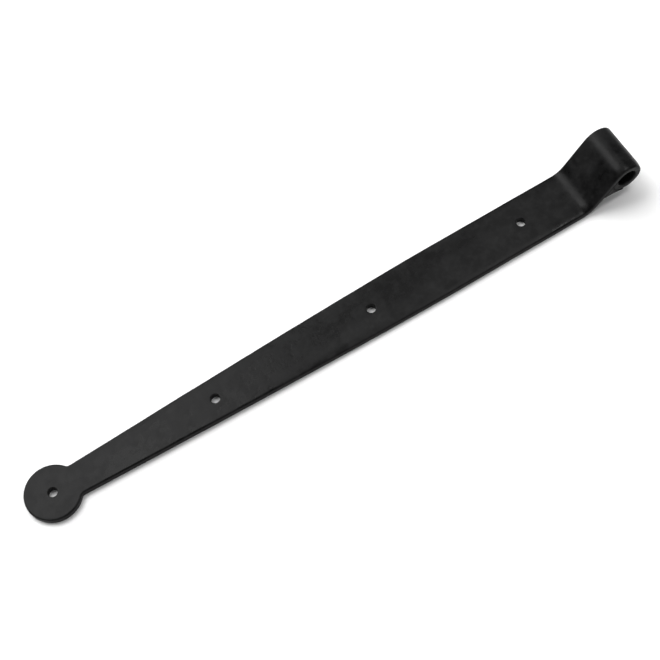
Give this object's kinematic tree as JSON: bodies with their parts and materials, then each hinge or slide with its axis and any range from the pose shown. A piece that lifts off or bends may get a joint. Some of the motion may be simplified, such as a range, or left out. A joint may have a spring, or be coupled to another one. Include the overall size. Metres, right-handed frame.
{
  "type": "strap hinge leaf",
  "caption": "Black steel strap hinge leaf with a round penny end, a tapered strap with plain screw holes, a crank and a rolled eye for a pintle pin.",
  "frame": {"origin": "centre of the bounding box in X and Y, on the plane of the flat back that lies against the door", "axes": "+X along the strap from the penny end towards the eye, Y across the strap and along the eye's bore, +Z out of the strap's front face"},
  "size_m": [0.4697, 0.039, 0.0347],
  "materials": {
    "black_coat": "satin black powder coat over hand-worked steel, slightly mottled"
  },
  "bodies": {
    "root": {"strap_leaf": "black_coat", "eye_weld": "black_coat"}
  },
  "joints": []
}
